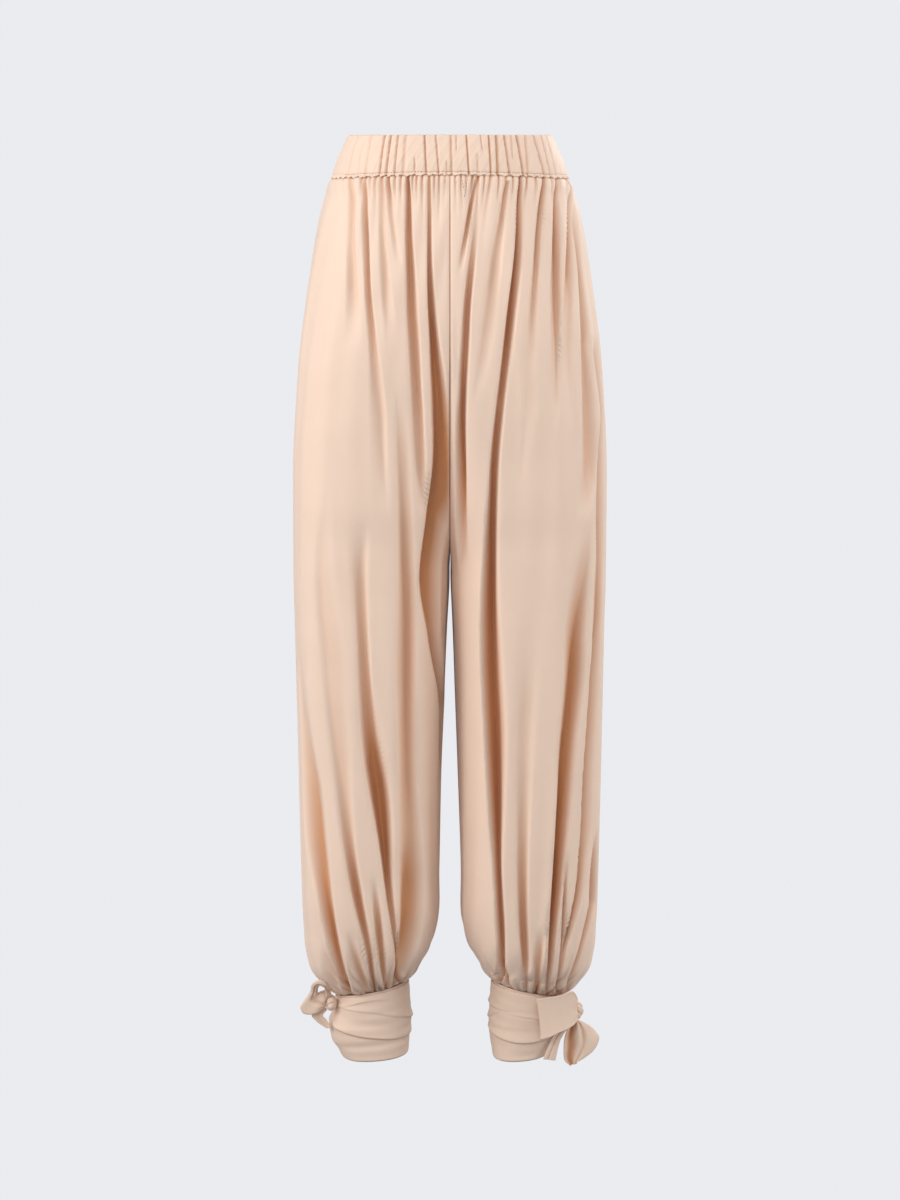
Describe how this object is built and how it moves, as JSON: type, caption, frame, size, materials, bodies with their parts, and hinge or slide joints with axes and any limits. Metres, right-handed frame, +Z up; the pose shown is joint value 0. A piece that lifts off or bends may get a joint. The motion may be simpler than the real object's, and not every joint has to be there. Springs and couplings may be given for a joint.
{
  "type": "full-leg trousers with gathered waistband and tied ankle cuffs",
  "caption": "Worn full-leg trousers in soft crepe, gathered into a ruched waistband and into ankle cuffs that wrap ties close in knots on the outer sides.",
  "frame": {"origin": "middle of the waist opening, half way up the waistband, where the wearer holds the trousers up", "axes": "+Z up along the body, -Y towards the front, +X towards the wearer's left"},
  "size_m": [0.356, 0.2556, 1.0711],
  "materials": {
    "waistband_cloth": "matt peach crepe, doubled over elastic and ruched",
    "leg_cloth": "soft peach crepe with a faint satin sheen",
    "cuff_cloth": "matt peach crepe, plain",
    "tie_cloth": "matt peach crepe, wound and knotted"
  },
  "bodies": {
    "root": {"waistband_front": "waistband_cloth", "waistband_back": "waistband_cloth", "front_panel_right": "leg_cloth", "front_panel_left": "leg_cloth", "back_panel_right": "leg_cloth", "back_panel_left": "leg_cloth", "cuff_right": "cuff_cloth", "cuff_left": "cuff_cloth", "tie_wound_right": "tie_cloth", "tie_wound_left": "tie_cloth", "tie_knot_right": "tie_cloth", "tie_knot_left": "tie_cloth", "tie_loop_right": "tie_cloth", "tie_loop_left": "tie_cloth", "tie_tail_right": "tie_cloth", "tie_tail_left": "tie_cloth", "tie_short_tail_left": "tie_cloth"}
  },
  "joints": []
}
